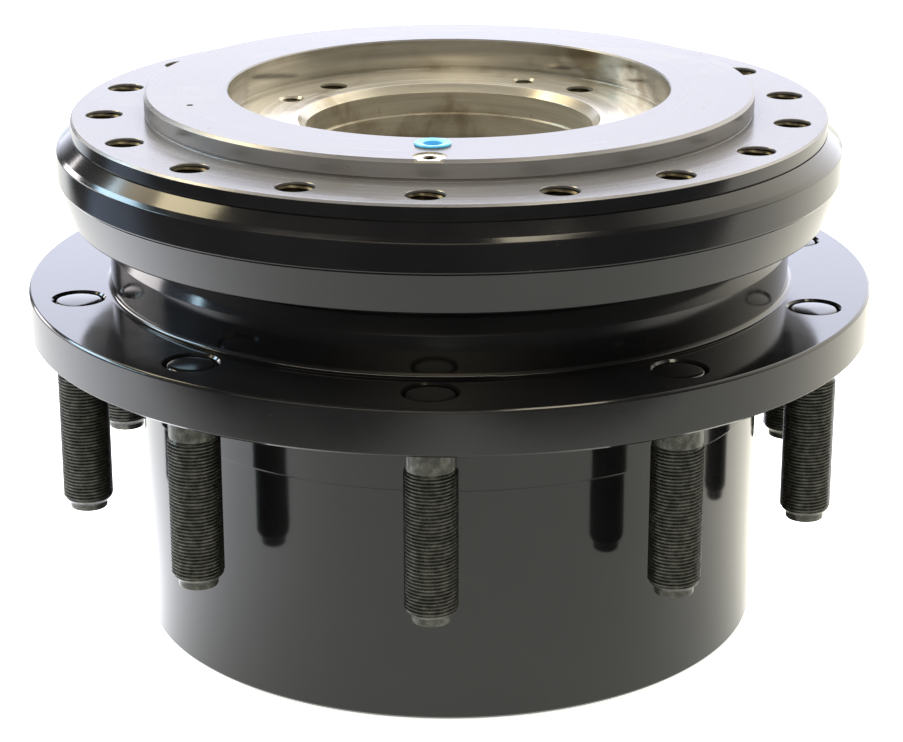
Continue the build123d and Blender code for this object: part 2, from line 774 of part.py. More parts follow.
with BuildPart() as wheel_studs:
    with PolarLocations(stud_circle_r, stud_count, start_angle=stud_first_angle):
        add(one_stud.part)
wheel_studs.part.label = "wheel_studs"
export_step(wheel_studs.part, "parts/wheel_studs.step")

ring_pitch_r = module * ring_teeth / 2
with BuildPart() as ring_gear:
    turn_ring(ring_pitch_r - 10, barrel_bore_r, *ring_gear_z)
    extrude(
        toothed_outline(
            ring_teeth,
            ring_pitch_r + 1.25 * module,
            ring_pitch_r - module,
            -flank_thinning,
            0,
            ring_gear_z[0],
        ),
        amount=ring_gear_z[1] - ring_gear_z[0],
        mode=Mode.SUBTRACT,
    )
    with BuildSketch(Plane.XY.offset(ring_gear_z[0])):
        with PolarLocations(barrel_bore_r, dowel_count, start_angle=hub_rest_angle):
            Circle(dowel_r)
    extrude(amount=40, mode=Mode.SUBTRACT)
ring_gear.part.label = "ring_gear"
export_step(ring_gear.part, "parts/ring_gear.step")

with BuildPart() as ring_gear_dowels:
    with BuildSketch(Plane.XY.offset(ring_gear_z[0] + 0.2)):
        with PolarLocations(barrel_bore_r, dowel_count, start_angle=hub_rest_angle):
            Circle(dowel_r)
    extrude(amount=39)
ring_gear_dowels.part.label = "ring_gear_dowels"
export_step(ring_gear_dowels.part, "parts/ring_gear_dowels.step")

cover_plug_circle_r = 92.0
with BuildPart() as end_cover:
    turn([
        (14.0, 5.5),
        (barrel_bore_r - 0.1, 5.5),
        (barrel_bore_r - 0.1, 8.6),
        (barrel_bore_r - 3.0, 8.6),
        (barrel_bore_r - 3.0, 12.0),
        (barrel_bore_r - 0.1, 12.0),
        (barrel_bore_r - 0.1, ring_gear_z[0]),
        (14.0, ring_gear_z[0]),
    ])
    with BuildSketch(Plane.XY.offset(5.5)):
        with PolarLocations(cover_plug_circle_r, 2, start_angle=-90, angular_range=90, endpoint=True):
            Circle(9.0)
    extrude(amount=10, mode=Mode.SUBTRACT)
end_cover.part.label = "end_cover"
export_step(end_cover.part, "parts/end_cover.step")

with BuildPart() as cover_o_ring:
    with BuildSketch(Plane.XZ):
        with Locations((barrel_bore_r - 1.6, 10.3)):
            Circle(1.4)
    revolve(axis=Axis.Z)
cover_o_ring.part.label = "cover_o_ring"
export_step(cover_o_ring.part, "parts/cover_o_ring.step")

with BuildPart() as cover_snap_ring:
    turn_ring(122.0, barrel_bore_r + 2.9, cover_groove_z[0] + 0.1, cover_groove_z[1])
    with BuildSketch(Plane.XY.offset(0)):
        with Locations((0, 126.0)):
            Rectangle(24, 14)
    extrude(amount=8, mode=Mode.SUBTRACT)
cover_snap_ring.part.label = "cover_snap_ring"
export_step(cover_snap_ring.part, "parts/cover_snap_ring.step")

with BuildPart() as one_oil_plug:
    turn_ring(0, 12.0, 2.4, 5.5)
    turn_ring(0, 9.0, 5.5, 14.0)
    with BuildSketch(Plane.XY.offset(2.4)):
        RegularPolygon(5.0, 6, major_radius=False)
    extrude(amount=6, mode=Mode.SUBTRACT)

with BuildPart() as oil_plugs:
    with PolarLocations(cover_plug_circle_r, 2, start_angle=-90, angular_range=90, endpoint=True):
        add(one_oil_plug.part)
oil_plugs.part.label = "oil_plugs"
export_step(oil_plugs.part, "parts/oil_plugs.step")

with BuildPart() as thrust_cap:
    turn_ring(0, 21.0, 2.4, 5.5)
    turn_ring(0, 14.0, 5.5, 17.0)
    chamfer(thrust_cap.edges().group_by(Axis.Z)[0], 1.0)
thrust_cap.part.label = "thrust_cap"
export_step(thrust_cap.part, "parts/thrust_cap.step")
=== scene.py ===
import json
from math import atan2, cos, hypot, pi, radians, sin, tan

import bmesh
import bpy
from mathutils import Matrix, Vector


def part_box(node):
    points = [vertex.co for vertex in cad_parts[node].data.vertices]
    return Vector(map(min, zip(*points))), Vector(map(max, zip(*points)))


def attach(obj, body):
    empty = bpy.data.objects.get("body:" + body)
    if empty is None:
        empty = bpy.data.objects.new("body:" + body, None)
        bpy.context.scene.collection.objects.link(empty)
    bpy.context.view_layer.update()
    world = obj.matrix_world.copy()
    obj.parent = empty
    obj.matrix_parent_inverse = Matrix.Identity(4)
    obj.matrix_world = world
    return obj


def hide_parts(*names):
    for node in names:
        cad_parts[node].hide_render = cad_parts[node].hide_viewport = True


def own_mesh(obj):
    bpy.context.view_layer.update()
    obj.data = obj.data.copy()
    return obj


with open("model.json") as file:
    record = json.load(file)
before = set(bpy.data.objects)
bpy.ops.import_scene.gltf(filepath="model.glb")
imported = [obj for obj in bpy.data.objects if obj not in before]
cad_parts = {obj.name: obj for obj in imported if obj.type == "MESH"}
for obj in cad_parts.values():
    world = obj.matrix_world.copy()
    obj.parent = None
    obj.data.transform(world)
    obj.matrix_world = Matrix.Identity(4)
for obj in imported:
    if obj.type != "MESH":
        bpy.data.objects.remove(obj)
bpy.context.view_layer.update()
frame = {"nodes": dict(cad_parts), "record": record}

# ------------------------------------------------------------------ measures, in metres, from the frame

MM = 0.001
mounts = {mount["name"]: mount for mount in frame["record"]["mounts"]}


def dim(mount, key):
    """A dimension of a mount, in metres."""
    return mounts[mount]["dims"][key] * MM


def height(mount):
    """How high a mount stands, in metres."""
    return mounts[mount]["pos_m"][2]


TURN_STEPS = 288                     # faces round a large turned part
HOLE_STEPS = 64                      # faces round a drilled hole
ON_AXIS = 1e-6                       # a smaller radius than this is on the axis
TOP_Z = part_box("spindle")[1].z
COLLAR_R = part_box("spindle")[1].x
FLANGE_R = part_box("wheel_hub")[1].x
FACE_Z = height("frame_bolts")
FLOOR_Z = height("motor_bolts")
FLANGE_FOOT_Z = height("wheel_face")
FLANGE_THICKNESS = 19.8 * MM
FLANGE_TOP_Z = FLANGE_FOOT_Z + FLANGE_THICKNESS
PILOT_R = dim("wheel_pilot", "r_mm")
STUD_R = dim("wheel_studs", "stud_r_mm")
STUD_CIRCLE_R = dim("wheel_studs", "pcd_mm") / 2
STUD_LOW_Z, STUD_HIGH_Z = (corner.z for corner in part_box("wheel_studs"))
FRAME_HOLE_CIRCLE_R = dim("frame_bolts", "pcd_mm") / 2
MOTOR_HOLE_CIRCLE_R = dim("motor_bolts", "pcd_mm") / 2
HUB_REST_ANGLE = radians(0.9)        # how far the hub has turned from the spindle's clocking
PLUG_LOW, PLUG_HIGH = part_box("port_plug")
PLUG_CENTRE = (PLUG_LOW + PLUG_HIGH) / 2
CAMERA_AZIMUTH = radians(3.47)


def at_angle(radius, angle, z):
    """A point at an angle from -Y, counted towards +X."""
    return Vector((radius * sin(angle), -radius * cos(angle), z))


# ------------------------------------------------------------------ mesh tools

def new_object(name, mesh_builder):
    """An object whose mesh is filled by a function that takes a bmesh."""
    mesh = bpy.data.meshes.new(name)
    work = bmesh.new()
    mesh_builder(work)
    bmesh.ops.recalc_face_normals(work, faces=work.faces)
    work.to_mesh(mesh)
    work.free()
    obj = bpy.data.objects.new(name, mesh)
    bpy.context.scene.collection.objects.link(obj)
    return obj


def rounded(corners, steps):
    """A closed outline of (radius, z) points from corners of (radius, z, rounding)."""
    points = []
    count = len(corners)
    for i in range(count):
        here = Vector(corners[i][:2])
        rounding = corners[i][2] if len(corners[i]) > 2 else 0.0
        before = Vector(corners[i - 1][:2]) - here
        after = Vector(corners[(i + 1) % count][:2]) - here
        if rounding <= 0:
            points.append(here)
            continue
        angle = before.angle(after)
        reach = min(rounding / tan(angle / 2), 0.48 * before.length, 0.48 * after.length)
        radius = reach * tan(angle / 2)
        centre = here + (before.normalized() + after.normalized()).normalized() * radius / sin(angle / 2)
        start = here + before.normalized() * reach - centre
        end = here + after.normalized() * reach - centre
        sweep = atan2(start.x * end.y - start.y * end.x, start.dot(end))
        for step in range(steps + 1):
            turn = sweep * step / steps
            points.append(centre + Matrix.Rotation(turn, 2) @ start)
    return points


def round_point(radius, angle, z):
    """A point at an angle from +X, counted towards +Y."""
    return Vector((radius * cos(angle), radius * sin(angle), z))


def turn_outline(work, outline, steps=TURN_STEPS, centre=Vector((0, 0, 0)), closed=True):
    """Turns an outline about Z into a bmesh. Points on the axis become one vertex."""
    rings = []
    for radius, z in outline:
        count = 1 if radius < ON_AXIS else steps
        rings.append([work.verts.new(centre + round_point(radius, 2 * pi * k / steps, z)) for k in range(count)])
    for a, b in zip(rings, rings[1:] + rings[:1] if closed else rings[1:]):
        for step in range(steps):
            after = (step + 1) % steps
            corners = [a[step % len(a)], a[after % len(a)], b[after % len(b)], b[step % len(b)]]
            unique = list(dict.fromkeys(corners))
            if len(unique) > 2:
                work.faces.new(unique)


def turned(name, corners, steps=TURN_STEPS, arc_steps=4, centre=Vector((0, 0, 0))):
    """An object turned from corners of (radius, z, rounding)."""
    return new_object(name, lambda work: turn_outline(work, rounded(corners, arc_steps), steps, centre))


def finish_shading(obj, angle=radians(32)):
    """Smooth faces with sharp edges where the surface turns hard, and normals weighted by face area."""
    for face in obj.data.polygons:
        face.use_smooth = True
    obj.data.set_sharp_from_angle(angle=angle)
    weighted = obj.modifiers.new("weighted", "WEIGHTED_NORMAL")
    weighted.keep_sharp = True
    weighted.weight = 60


def cut(obj, cutter):
    """Takes a cutter's shape away from an object, and removes the cutter."""
    boolean = obj.modifiers.new("cut", "BOOLEAN")
    boolean.operation = "DIFFERENCE"
    boolean.solver = "EXACT"
    boolean.object = cutter
    bpy.context.view_layer.update()
    graph = bpy.context.evaluated_depsgraph_get()
    mesh = bpy.data.meshes.new_from_object(obj.evaluated_get(graph))
    obj.modifiers.clear()
    obj.data = mesh
    bpy.data.objects.remove(cutter)


def clean(work):
    """Joins points that coincide, and drops faces with no area."""
    bmesh.ops.remove_doubles(work, verts=work.verts, dist=2e-6)
    bmesh.ops.dissolve_degenerate(work, edges=work.edges, dist=1e-6)


def thread_profile(crest_r, root_r):
    """One pitch of a screw thread, as (share of the pitch, radius)."""
    return [(0.0, crest_r), (0.125, crest_r), (0.4375, root_r), (0.6875, root_r)]


def helix_surface(work, profile, pitch, low, high, steps, centre):
    """A screw thread between two heights, fading to its root radius over its first and last pitch."""
    per_pitch = len(profile)
    root_r = profile[-1][1]
    turns = int((high - low) / pitch) + 3
    rows = []
    for k in range(turns * per_pitch + 1):
        share, radius = profile[k % per_pitch]
        offset = low + (k // per_pitch - 1.5 + share) * pitch
        row = []
        for step in range(steps + 1):
            angle = 2 * pi * step / steps
            z = offset + pitch * step / steps
            ease = max(0.0, min(1.0, (z - low) / pitch, (high - z) / pitch))
            r = root_r + (radius - root_r) * ease
            row.append(work.verts.new(centre + round_point(r, angle, max(low, min(high, z)))))
        rows.append(row)
    for a, b in zip(rows, rows[1:]):
        for step in range(steps):
            work.faces.new((a[step], a[step + 1], b[step + 1], b[step]))


# ------------------------------------------------------------------ material tools

class Tree:
    """Short words for building a node tree."""

    def __init__(self, tree):
        self.tree = tree

    def add(self, kind, **settings):
        node = self.tree.nodes.new(kind)
        for key, value in settings.items():
            setattr(node, key, value)
        return node

    def link(self, source, target):
        self.tree.links.new(source, target)

    def put(self, target, value):
        if isinstance(value, (int, float, tuple)):
            target.default_value = value
        else:
            self.link(value, target)

    def math(self, operation, a, b=0.0):
        node = self.add("ShaderNodeMath", operation=operation)
        self.put(node.inputs[0], a)
        self.put(node.inputs[1], b)
        return node.outputs[0]

    def times(self, *factors):
        product = factors[0]
        for factor in factors[1:]:
            product = self.math("MULTIPLY", product, factor)
        return product

    def scaled(self, colour, factor):
        node = self.add("ShaderNodeVectorMath", operation="SCALE")
        self.put(node.inputs[0], colour)
        self.put(node.inputs["Scale"], factor)
        return node.outputs[0]

    def total(self, *vectors):
        result = vectors[0]
        for vector in vectors[1:]:
            node = self.add("ShaderNodeVectorMath", operation="ADD")
            self.put(node.inputs[0], result)
            self.put(node.inputs[1], vector)
            result = node.outputs[0]
        return result

    def lobe(self, direction, azimuth, elevation, spread):
        """A soft spot round a direction, 1 at its middle and 1/e at an angle of spread degrees."""
        axis = at_angle(cos(radians(elevation)), radians(azimuth), sin(radians(elevation)))
        node = self.add("ShaderNodeVectorMath", operation="DOT_PRODUCT")
        self.put(node.inputs[0], direction)
        self.put(node.inputs[1], tuple(axis))
        sharpness = 1 / (1 - cos(radians(spread)))
        return self.math("EXPONENT", self.times(self.math("SUBTRACT", node.outputs["Value"], 1.0), sharpness))

    def split(self, vector):
        node = self.add("ShaderNodeSeparateXYZ")
        self.link(vector, node.inputs[0])
        return node.outputs

    def join(self, x, y, z):
        node = self.add("ShaderNodeCombineXYZ")
        for target, value in zip(node.inputs, (x, y, z)):
            self.put(target, value)
        return node.outputs[0]

    def noise(self, vector, scale, detail, roughness=0.55, distortion=0.0):
        node = self.add("ShaderNodeTexNoise")
        self.put(node.inputs["Vector"], vector)
        node.inputs["Scale"].default_value = scale
        node.inputs["Detail"].default_value = detail
        node.inputs["Roughness"].default_value = roughness
        node.inputs["Distortion"].default_value = distortion
        return node.outputs["Fac"]

    def ramp(self, value, low, high, out_low=0.0, out_high=1.0):
        node = self.add("ShaderNodeMapRange", interpolation_type="SMOOTHSTEP")
        self.put(node.inputs["Value"], value)
        node.inputs["From Min"].default_value = low
        node.inputs["From Max"].default_value = high
        node.inputs["To Min"].default_value = out_low
        node.inputs["To Max"].default_value = out_high
        return node.outputs["Result"]

    def mix(self, share, a, b):
        node = self.add("ShaderNodeMix", data_type="RGBA")
        self.put(node.inputs["Factor"], share)
        self.put(node.inputs["A"], a)
        self.put(node.inputs["B"], b)
        return node.outputs["Result"]

    def bump(self, height_value, distance, strength, after=None):
        node = self.add("ShaderNodeBump")
        node.inputs["Distance"].default_value = distance
        node.inputs["Strength"].default_value = strength
        self.link(height_value, node.inputs["Height"])
        if after is not None:
            self.link(after, node.inputs["Normal"])
        return node.outputs["Normal"]


class Nodes(Tree):
    """A new material and the words for its shader."""

    def __init__(self, name):
        self.material = bpy.data.materials.new(name)
        self.material.use_nodes = True
        super().__init__(self.material.node_tree)
        self.shader = self.tree.nodes["Principled BSDF"]
        self.object_xyz = self.add("ShaderNodeTexCoord").outputs["Object"]

    def set(self, **values):
        """Sets inputs of the shader by name, with _ for a space."""
        for key, value in values.items():
            self.put(self.shader.inputs[key.replace("_", " ")], value)

    def round_axis(self):
        """Radius, height and angle about the Z axis."""
        x, y, z = self.split(self.object_xyz)
        radius = self.math("SQRT", self.math("ADD", self.times(x, x), self.times(y, y)))
        return radius, z, self.math("ARCTAN2", y, x)


def black_paint():
    """Black enamel over machined castings: a deep gloss with slight orange peel and a little dust."""
    n = Nodes("black_enamel")
    radius, z, angle = n.round_axis()
    rings = n.noise(n.join(n.times(radius, 700.0), n.times(z, 700.0), angle), 1.0, 2.0)
    peel = n.noise(n.object_xyz, 170.0, 2.0)
    patches = n.noise(n.object_xyz, 22.0, 4.0)
    specks = n.ramp(n.noise(n.object_xyz, 1100.0, 1.0), 0.77, 0.80)
    dust = n.times(specks, n.ramp(patches, 0.55, 0.68, 0.0, 0.4))
    colour = n.mix(n.ramp(patches, 0.35, 0.7), (0.0036, 0.0036, 0.0040, 1), (0.0056, 0.0056, 0.0060, 1))
    n.set(Base_Color=n.mix(dust, colour, (0.22, 0.21, 0.19, 1)))
    n.set(Roughness=n.ramp(patches, 0.3, 0.75, 0.09, 0.15))
    n.set(Normal=n.bump(rings, 0.00002, 0.12, n.bump(peel, 0.00005, 0.22)))
    n.set(IOR=1.5)
    return n.material


def turned_steel(name, low, high, roughness, stain=(0.42, 0.36, 0.24, 1), mark=1.0, metallic=1.0, edge=1.0,
                 smear=0.45):
    """Bare turned steel: fine rings of the tool round the axis, an oily film, and a few stains.
    Mark is the depth of the rings, edge is how much of the reflection is left at a glancing angle, and smear is
    the strength of the stains."""
    n = Nodes(name)
    radius, z, angle = n.round_axis()
    rings = n.noise(n.join(n.times(radius, 2600.0), n.times(z, 2600.0), n.times(angle, 3.0)), 1.0, 2.0)
    bands = n.noise(n.join(n.times(radius, 330.0), n.times(z, 330.0), n.times(angle, 1.2)), 1.0, 3.0)
    patches = n.noise(n.object_xyz, 26.0, 5.0, 0.6, 0.4)
    film = n.ramp(patches, 0.52, 0.72)
    specks = n.ramp(n.noise(n.object_xyz, 520.0, 2.0), 0.70, 0.76)
    base = n.mix(n.ramp(bands, 0.3, 0.7), low, high)
    stained = n.mix(n.times(film, smear), base, stain)
    n.set(Base_Color=n.mix(n.times(specks, 0.6), stained, (0.10, 0.09, 0.08, 1)))
    n.set(Roughness=n.math("SUBTRACT", n.ramp(bands, 0.25, 0.8, *roughness), n.times(film, 0.06)))
    n.set(Metallic=metallic, Anisotropic=0.35, Specular_Tint=(edge, edge, edge, 1), Specular_IOR_Level=0.2)
    tangent = n.add("ShaderNodeTangent", direction_type="RADIAL", axis="Z")
    n.link(tangent.outputs[0], n.shader.inputs["Tangent"])
    n.set(Normal=n.bump(rings, 0.00003 * mark, 0.5))
    return n.material


def dark_steel(name, colour, roughness, metallic=0.85):
    """Phosphated or oil-blackened steel: a fine crystal grain with rubbed highlights."""
    n = Nodes(name)
    grain = n.noise(n.object_xyz, 2400.0, 2.0)
    patches = n.noise(n.object_xyz, 300.0, 4.0)
    lighter = tuple(min(1.0, 2.1 * c + 0.02) for c in colour) + (1,)
    n.set(Base_Color=n.mix(n.ramp(patches, 0.35, 0.75), colour + (1,), lighter))
    n.set(Roughness=n.ramp(grain, 0.3, 0.7, roughness - 0.06, roughness + 0.08))
    n.set(Metallic=metallic)
    n.set(Normal=n.bump(grain, 0.00003, 0.4))
    return n.material


def blue_plastic():
    """Moulded light blue polyethylene with a slight oil film."""
    n = Nodes("blue_plastic")
    clouds = n.noise(n.object_xyz, 220.0, 3.0)
    n.set(Base_Color=n.mix(n.ramp(clouds, 0.3, 0.7), (0.075, 0.36, 0.64, 1), (0.13, 0.46, 0.76, 1)))
    n.set(Roughness=n.ramp(clouds, 0.3, 0.7, 0.26, 0.38))
    n.set(Subsurface_Weight=0.15, Subsurface_Scale=0.002, Specular_IOR_Level=0.25)
    n.set(Normal=n.bump(clouds, 0.0001, 0.3))
    return n.material


def rubber():
    """Black seal rubber, slightly cloudy."""
    n = Nodes("seal_rubber")
    clouds = n.noise(n.object_xyz, 700.0, 3.0)
    n.set(Base_Color=n.mix(n.ramp(clouds, 0.3, 0.7), (0.010, 0.010, 0.010, 1), (0.022, 0.022, 0.022, 1)))
    n.set(Roughness=n.ramp(clouds, 0.3, 0.7, 0.45, 0.62))
    n.set(Normal=n.bump(clouds, 0.00008, 0.5))
    return n.material


def friction_lining():
    """Sintered bronze lining: dark brown, porous, with bright metal grains."""
    n = Nodes("friction_lining")
    grain = n.noise(n.object_xyz, 1500.0, 3.0)
    n.set(Base_Color=n.mix(n.ramp(grain, 0.4, 0.7), (0.05, 0.034, 0.024, 1), (0.26, 0.17, 0.09, 1)))
    n.set(Roughness=n.ramp(grain, 0.3, 0.7, 0.5, 0.75))
    n.set(Metallic=0.4)
    n.set(Normal=n.bump(grain, 0.0001, 0.6))
    return n.material


ENAMEL = black_paint()
FACE_STEEL = turned_steel("turned_steel", (0.242, 0.237, 0.240, 1), (0.274, 0.268, 0.270, 1), (0.22, 0.29),
                          stain=(0.235, 0.224, 0.19, 1), mark=0.2, metallic=0.6, edge=0.52)
# The bored and seat steels are copies of the turned steel with lighter, warmer base colours than the face: partly
# the bores' own warmer tone, partly painted light standing in for the light bounced into the bores.
BORE_STEEL_PAINTED_LIGHT = turned_steel("bored_steel_painted_light", (0.38, 0.365, 0.33, 1), (0.49, 0.47, 0.42, 1), (0.13, 0.20),
                          stain=(0.17, 0.13, 0.07, 1), mark=0.5, metallic=0.85, smear=0.8)
SEAT_STEEL_PAINTED_LIGHT = turned_steel("seat_steel_painted_light", (0.40, 0.37, 0.30, 1), (0.50, 0.46, 0.37, 1), (0.18, 0.28),
                          stain=(0.20, 0.15, 0.08, 1), mark=0.5, metallic=0.6, smear=0.8)
OILY_STEEL = dark_steel("oily_thread_steel", (0.07, 0.06, 0.04), 0.34, metallic=1.0)
PHOSPHATE = dark_steel("black_phosphate", (0.036, 0.037, 0.031), 0.28, metallic=0.6)
SPRING_STEEL = dark_steel("spring_steel", (0.09, 0.09, 0.10), 0.32)
BLUE = blue_plastic()

SLOT_MATERIALS = {
    "black_paint": ENAMEL,
    "machined_steel": FACE_STEEL,
    "black_phosphate": PHOSPHATE,
    "bearing_steel": turned_steel("ground_steel", (0.55, 0.56, 0.57, 1), (0.68, 0.69, 0.70, 1), (0.12, 0.2)),
    "gear_steel": dark_steel("gear_steel", (0.20, 0.20, 0.205), 0.30, metallic=1.0),
    "seal_rubber": rubber(),
    "blue_plastic": BLUE,
    "zinc_plate": dark_steel("zinc_plate", (0.46, 0.47, 0.48), 0.26, metallic=1.0),
    "friction_lining": friction_lining(),
    "spring_steel": SPRING_STEEL,
}

for part in frame["record"]["subparts"]:
    node = frame["nodes"][part["node"]]
    node.data.materials.clear()
    node.data.materials.append(SLOT_MATERIALS[part["material_slot"]])


def assign_by_place(obj, materials, choose):
    """Gives each face the material whose index choose(centre of the face) returns."""
    obj.data.materials.clear()
    for material in materials:
        obj.data.materials.append(material)
    for face in obj.data.polygons:
        face.material_index = choose(face.center)


def complete(obj, body, slot_name, *nodes):
    """Says which body a piece rides on and the CAD nodes that it stands in for, which are hidden. The slot name is
    not used.
    """
    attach(obj, body)
    if nodes:
        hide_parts(*nodes)


# ------------------------------------------------------------------ the spindle

def mm_outline(rows):
    """Corners in metres from rows of (radius, z, rounding) in millimetres."""
    return [tuple(value * MM for value in row) for row in rows]


top, face, seat, collar = (value / MM for value in (TOP_Z, FACE_Z, FLOOR_Z, COLLAR_R))
guard_bore, frame_pilot, motor_pilot = (
    dim(name, "r_mm") / MM for name in ("motor_guard_bore", "frame_pilot", "motor_pilot"))
rim = 166.3                          # the radius of the frame face, in millimetres

spindle_corners = mm_outline([
    (guard_bore, top - 0.6, 0.2),
    (guard_bore + 0.6, top, 0.2),
    (frame_pilot - 1.3, top, 0.25),
    (frame_pilot, top - 1.3, 0.25),
    (frame_pilot, face + 1.6, 0.2),
    (frame_pilot - 0.7, face + 1.2, 0.2),
    (frame_pilot - 0.7, face, 0.3),
    (rim - 1.0, face, 0.25),
    (rim, face - 1.0, 0.25),
    (rim, 225.4, 0.15),
    (rim - 0.9, 225.4, 0.2),
    (rim - 0.9, 224.7, 0.2),
    (rim, 224.7, 0.3),
    (collar - 1.6, 219.9, 0.7),
    (collar, 218.0, 0.9),
    (collar, 206.2, 1.1),
    (collar - 0.9, 205.2, 1.1),
    (167.0, 188.0, 1.3),
    (155.5, 188.0, 0.8),
    (155.5, 210.0, 0.5),
    (133.5, 210.0, 0.5),
    (133.5, 217.0, 0.5),
    (112.5, 217.0, 0.5),
    (112.5, 191.5, 0.5),
    (95.0, 191.5, 0.0),
    (95.0, 115.5, 0.0),
    (93.5, 114.5, 0.0),
    (93.5, 106.0, 0.3),
    (80.6, 106.0, 0.2),
    (80.0, 106.6, 0.2),
    (80.0, 109.5, 0.0),
    (83.0, 109.5, 0.0),
    (83.0, 112.7, 0.0),
    (80.0, 112.7, 0.0),
    (80.0, 138.0, 0.0),
    (76.6, 138.0, 0.0),
    (76.6, 172.0, 0.0),
    (motor_pilot - 1.5, 172.0, 0.3),
    (motor_pilot - 1.5, 213.0, 0.25),
    (motor_pilot, 213.0, 0.2),
    (motor_pilot, seat - 3.4, 0.4),
    (motor_pilot + 3.5, seat, 0.4),
    (guard_bore + 0.8, seat, 0.2),
    (guard_bore + 0.8, seat + 1.6, 0.2),
    (guard_bore, seat + 1.6, 0.2),
])

ABOVE = 2 * MM                       # how far a cutter stands above the face that it cuts


def hole_cutter(name, holes):
    """One cutter of several round holes, each (point on the face, [(radius, depth), ...] from above the face)."""
    def build(work):
        for point, stations in holes:
            outline = [(0.0, ABOVE)] + [(r, -d) for r, d in stations] + [(0.0, -stations[-1][1])]
            turn_outline(work, [Vector(p) for p in outline], HOLE_STEPS, point)
    return new_object(name, build)


def hole(radius, depth, rim_radius=None):
    """The stations of a hole with an optional chamfered rim, with its wall from above the face. In millimetres."""
    radius, depth = radius * MM, depth * MM
    if rim_radius is None:
        return [(radius, -ABOVE), (radius, depth)]
    rim_radius *= MM
    return [(rim_radius + ABOVE, -ABOVE), (radius, rim_radius - radius), (radius, depth)]


def ring_points(radius, count, first_angle, z):
    """Evenly spaced points round the axis, from an angle counted from -Y."""
    return [at_angle(radius, first_angle + 2 * pi * i / count, z) for i in range(count)]


GUARD_HOLE_CIRCLE_R = 80.0 * MM
DRAIN_PLACE_R = 128.0 * MM
PIN_HOLE_PLACE_R = 117.4 * MM
PIN_HOLE_ANGLE = radians(-66.9)
DRAIN_FACE_R = 6.8 * MM
DRAIN_R = 2.3 * MM

frame_holes = ring_points(FRAME_HOLE_CIRCLE_R, 18, 0, FACE_Z)
motor_holes = ring_points(MOTOR_HOLE_CIRCLE_R, 4, pi / 4, FLOOR_Z)
guard_holes = ring_points(GUARD_HOLE_CIRCLE_R, 4, pi * 3 / 8, FLOOR_Z)
port = Vector((PLUG_CENTRE.x, PLUG_CENTRE.y, TOP_Z))
drain = at_angle(DRAIN_PLACE_R, 0, TOP_Z)
pin_hole = at_angle(PIN_HOLE_PLACE_R, PIN_HOLE_ANGLE, TOP_Z)
drain_stations = [(DRAIN_FACE_R, -ABOVE), (DRAIN_FACE_R, 0.5 * MM), (2.9 * MM, 0.6 * MM), (DRAIN_R, 1.2 * MM),
                  (DRAIN_R, 11 * MM)]

spindle = turned("spindle_casting", spindle_corners)
cut(spindle, hole_cutter("frame_hole_cutter", [(point, hole(8.0, 19, 8.25)) for point in frame_holes]))
seat_holes = [(point, hole(6.35, 24)) for point in motor_holes]
seat_holes += [(point, hole(4.0, 16, 6.0)) for point in guard_holes]
seat_holes += [(port, hole(5.5, 12)), (drain, drain_stations), (pin_hole, hole(1.5, 5))]
cut(spindle, hole_cutter("seat_hole_cutter", seat_holes))

SPINDLE_MATERIALS = [ENAMEL, FACE_STEEL, BORE_STEEL_PAINTED_LIGHT, SEAT_STEEL_PAINTED_LIGHT, OILY_STEEL]
PAINTED, FACED, BORED, SEATED, OILY = range(len(SPINDLE_MATERIALS))


def spindle_material(centre):
    """The collar and all below it painted, the faces bright, the bores and seat lighter and warmer (partly the
    steel's own warmer tone, partly painted light standing in for light bounced into the bore), and the drain hole
    oily.
    """
    radius, z = hypot(centre.x, centre.y), centre.z
    from_drain = hypot(centre.x - drain.x, centre.y - drain.y)
    if from_drain < DRAIN_R + 0.3 * MM:
        return OILY
    if from_drain < DRAIN_FACE_R + 0.1 * MM and TOP_Z - 0.9 * MM < z < TOP_Z - 0.2 * MM:
        return SEATED
    if radius > (rim - 1.0) * MM or z < FACE_Z - 20 * MM and radius > 132 * MM:
        return PAINTED if z < FACE_Z - 0.8 * MM else FACED
    if z > TOP_Z - 1.0 * MM or radius > (guard_bore + 1.5) * MM:
        return FACED
    return BORED if radius > (guard_bore - 1.0) * MM else SEATED


assign_by_place(spindle, SPINDLE_MATERIALS, spindle_material)
finish_shading(spindle)
complete(spindle, "spindle", "black_paint", "spindle")

THREADS = [                          # holes, then crest radius, root radius, pitch and depth in millimetres
    (frame_holes, (7.0, 8.0, 2.0, 18.0)),
    (motor_holes, (5.45, 6.35, 1.95, 22.0)),
    (guard_holes, (3.4, 4.0, 1.25, 14.0)),
]
THREAD_STEPS = 40                    # faces round a tapped thread


def thread_sleeve(work, point, crest_r, root_r, pitch, depth):
    """The threaded skin of a tapped hole: a closed ring, helical inside and plain outside."""
    lead = 0.55 * pitch
    inner = root_r - 0.02 * MM
    outer = root_r + 0.03 * MM
    helix_surface(work, thread_profile(crest_r, inner), pitch, -depth, -lead, THREAD_STEPS, point)
    plain = [(inner, -depth), (outer, -depth), (outer, -lead), (inner, -lead)]
    turn_outline(work, [Vector(p) for p in plain], THREAD_STEPS, point, closed=False)


def build_threads(work):
    for points, sizes in THREADS:
        for point in points:
            thread_sleeve(work, point, *(size * MM for size in sizes))
    clean(work)


threads = new_object("tapped_threads", build_threads)
threads.data.materials.append(OILY_STEEL)
finish_shading(threads, radians(25))
complete(threads, "spindle", "machined_steel")

# ------------------------------------------------------------------ the wheel hub

pilot, flange, flange_top, flange_foot = (value / MM for value in (PILOT_R, FLANGE_R, FLANGE_TOP_Z, FLANGE_FOOT_Z))
barrel = pilot - 0.8
PILOT_FOOT = 103.4                   # heights and radii of the hub's outline, in millimetres
NECK = 151.5
NECK_TOP = 145.7
NECK_BEVEL_Z = 174.0

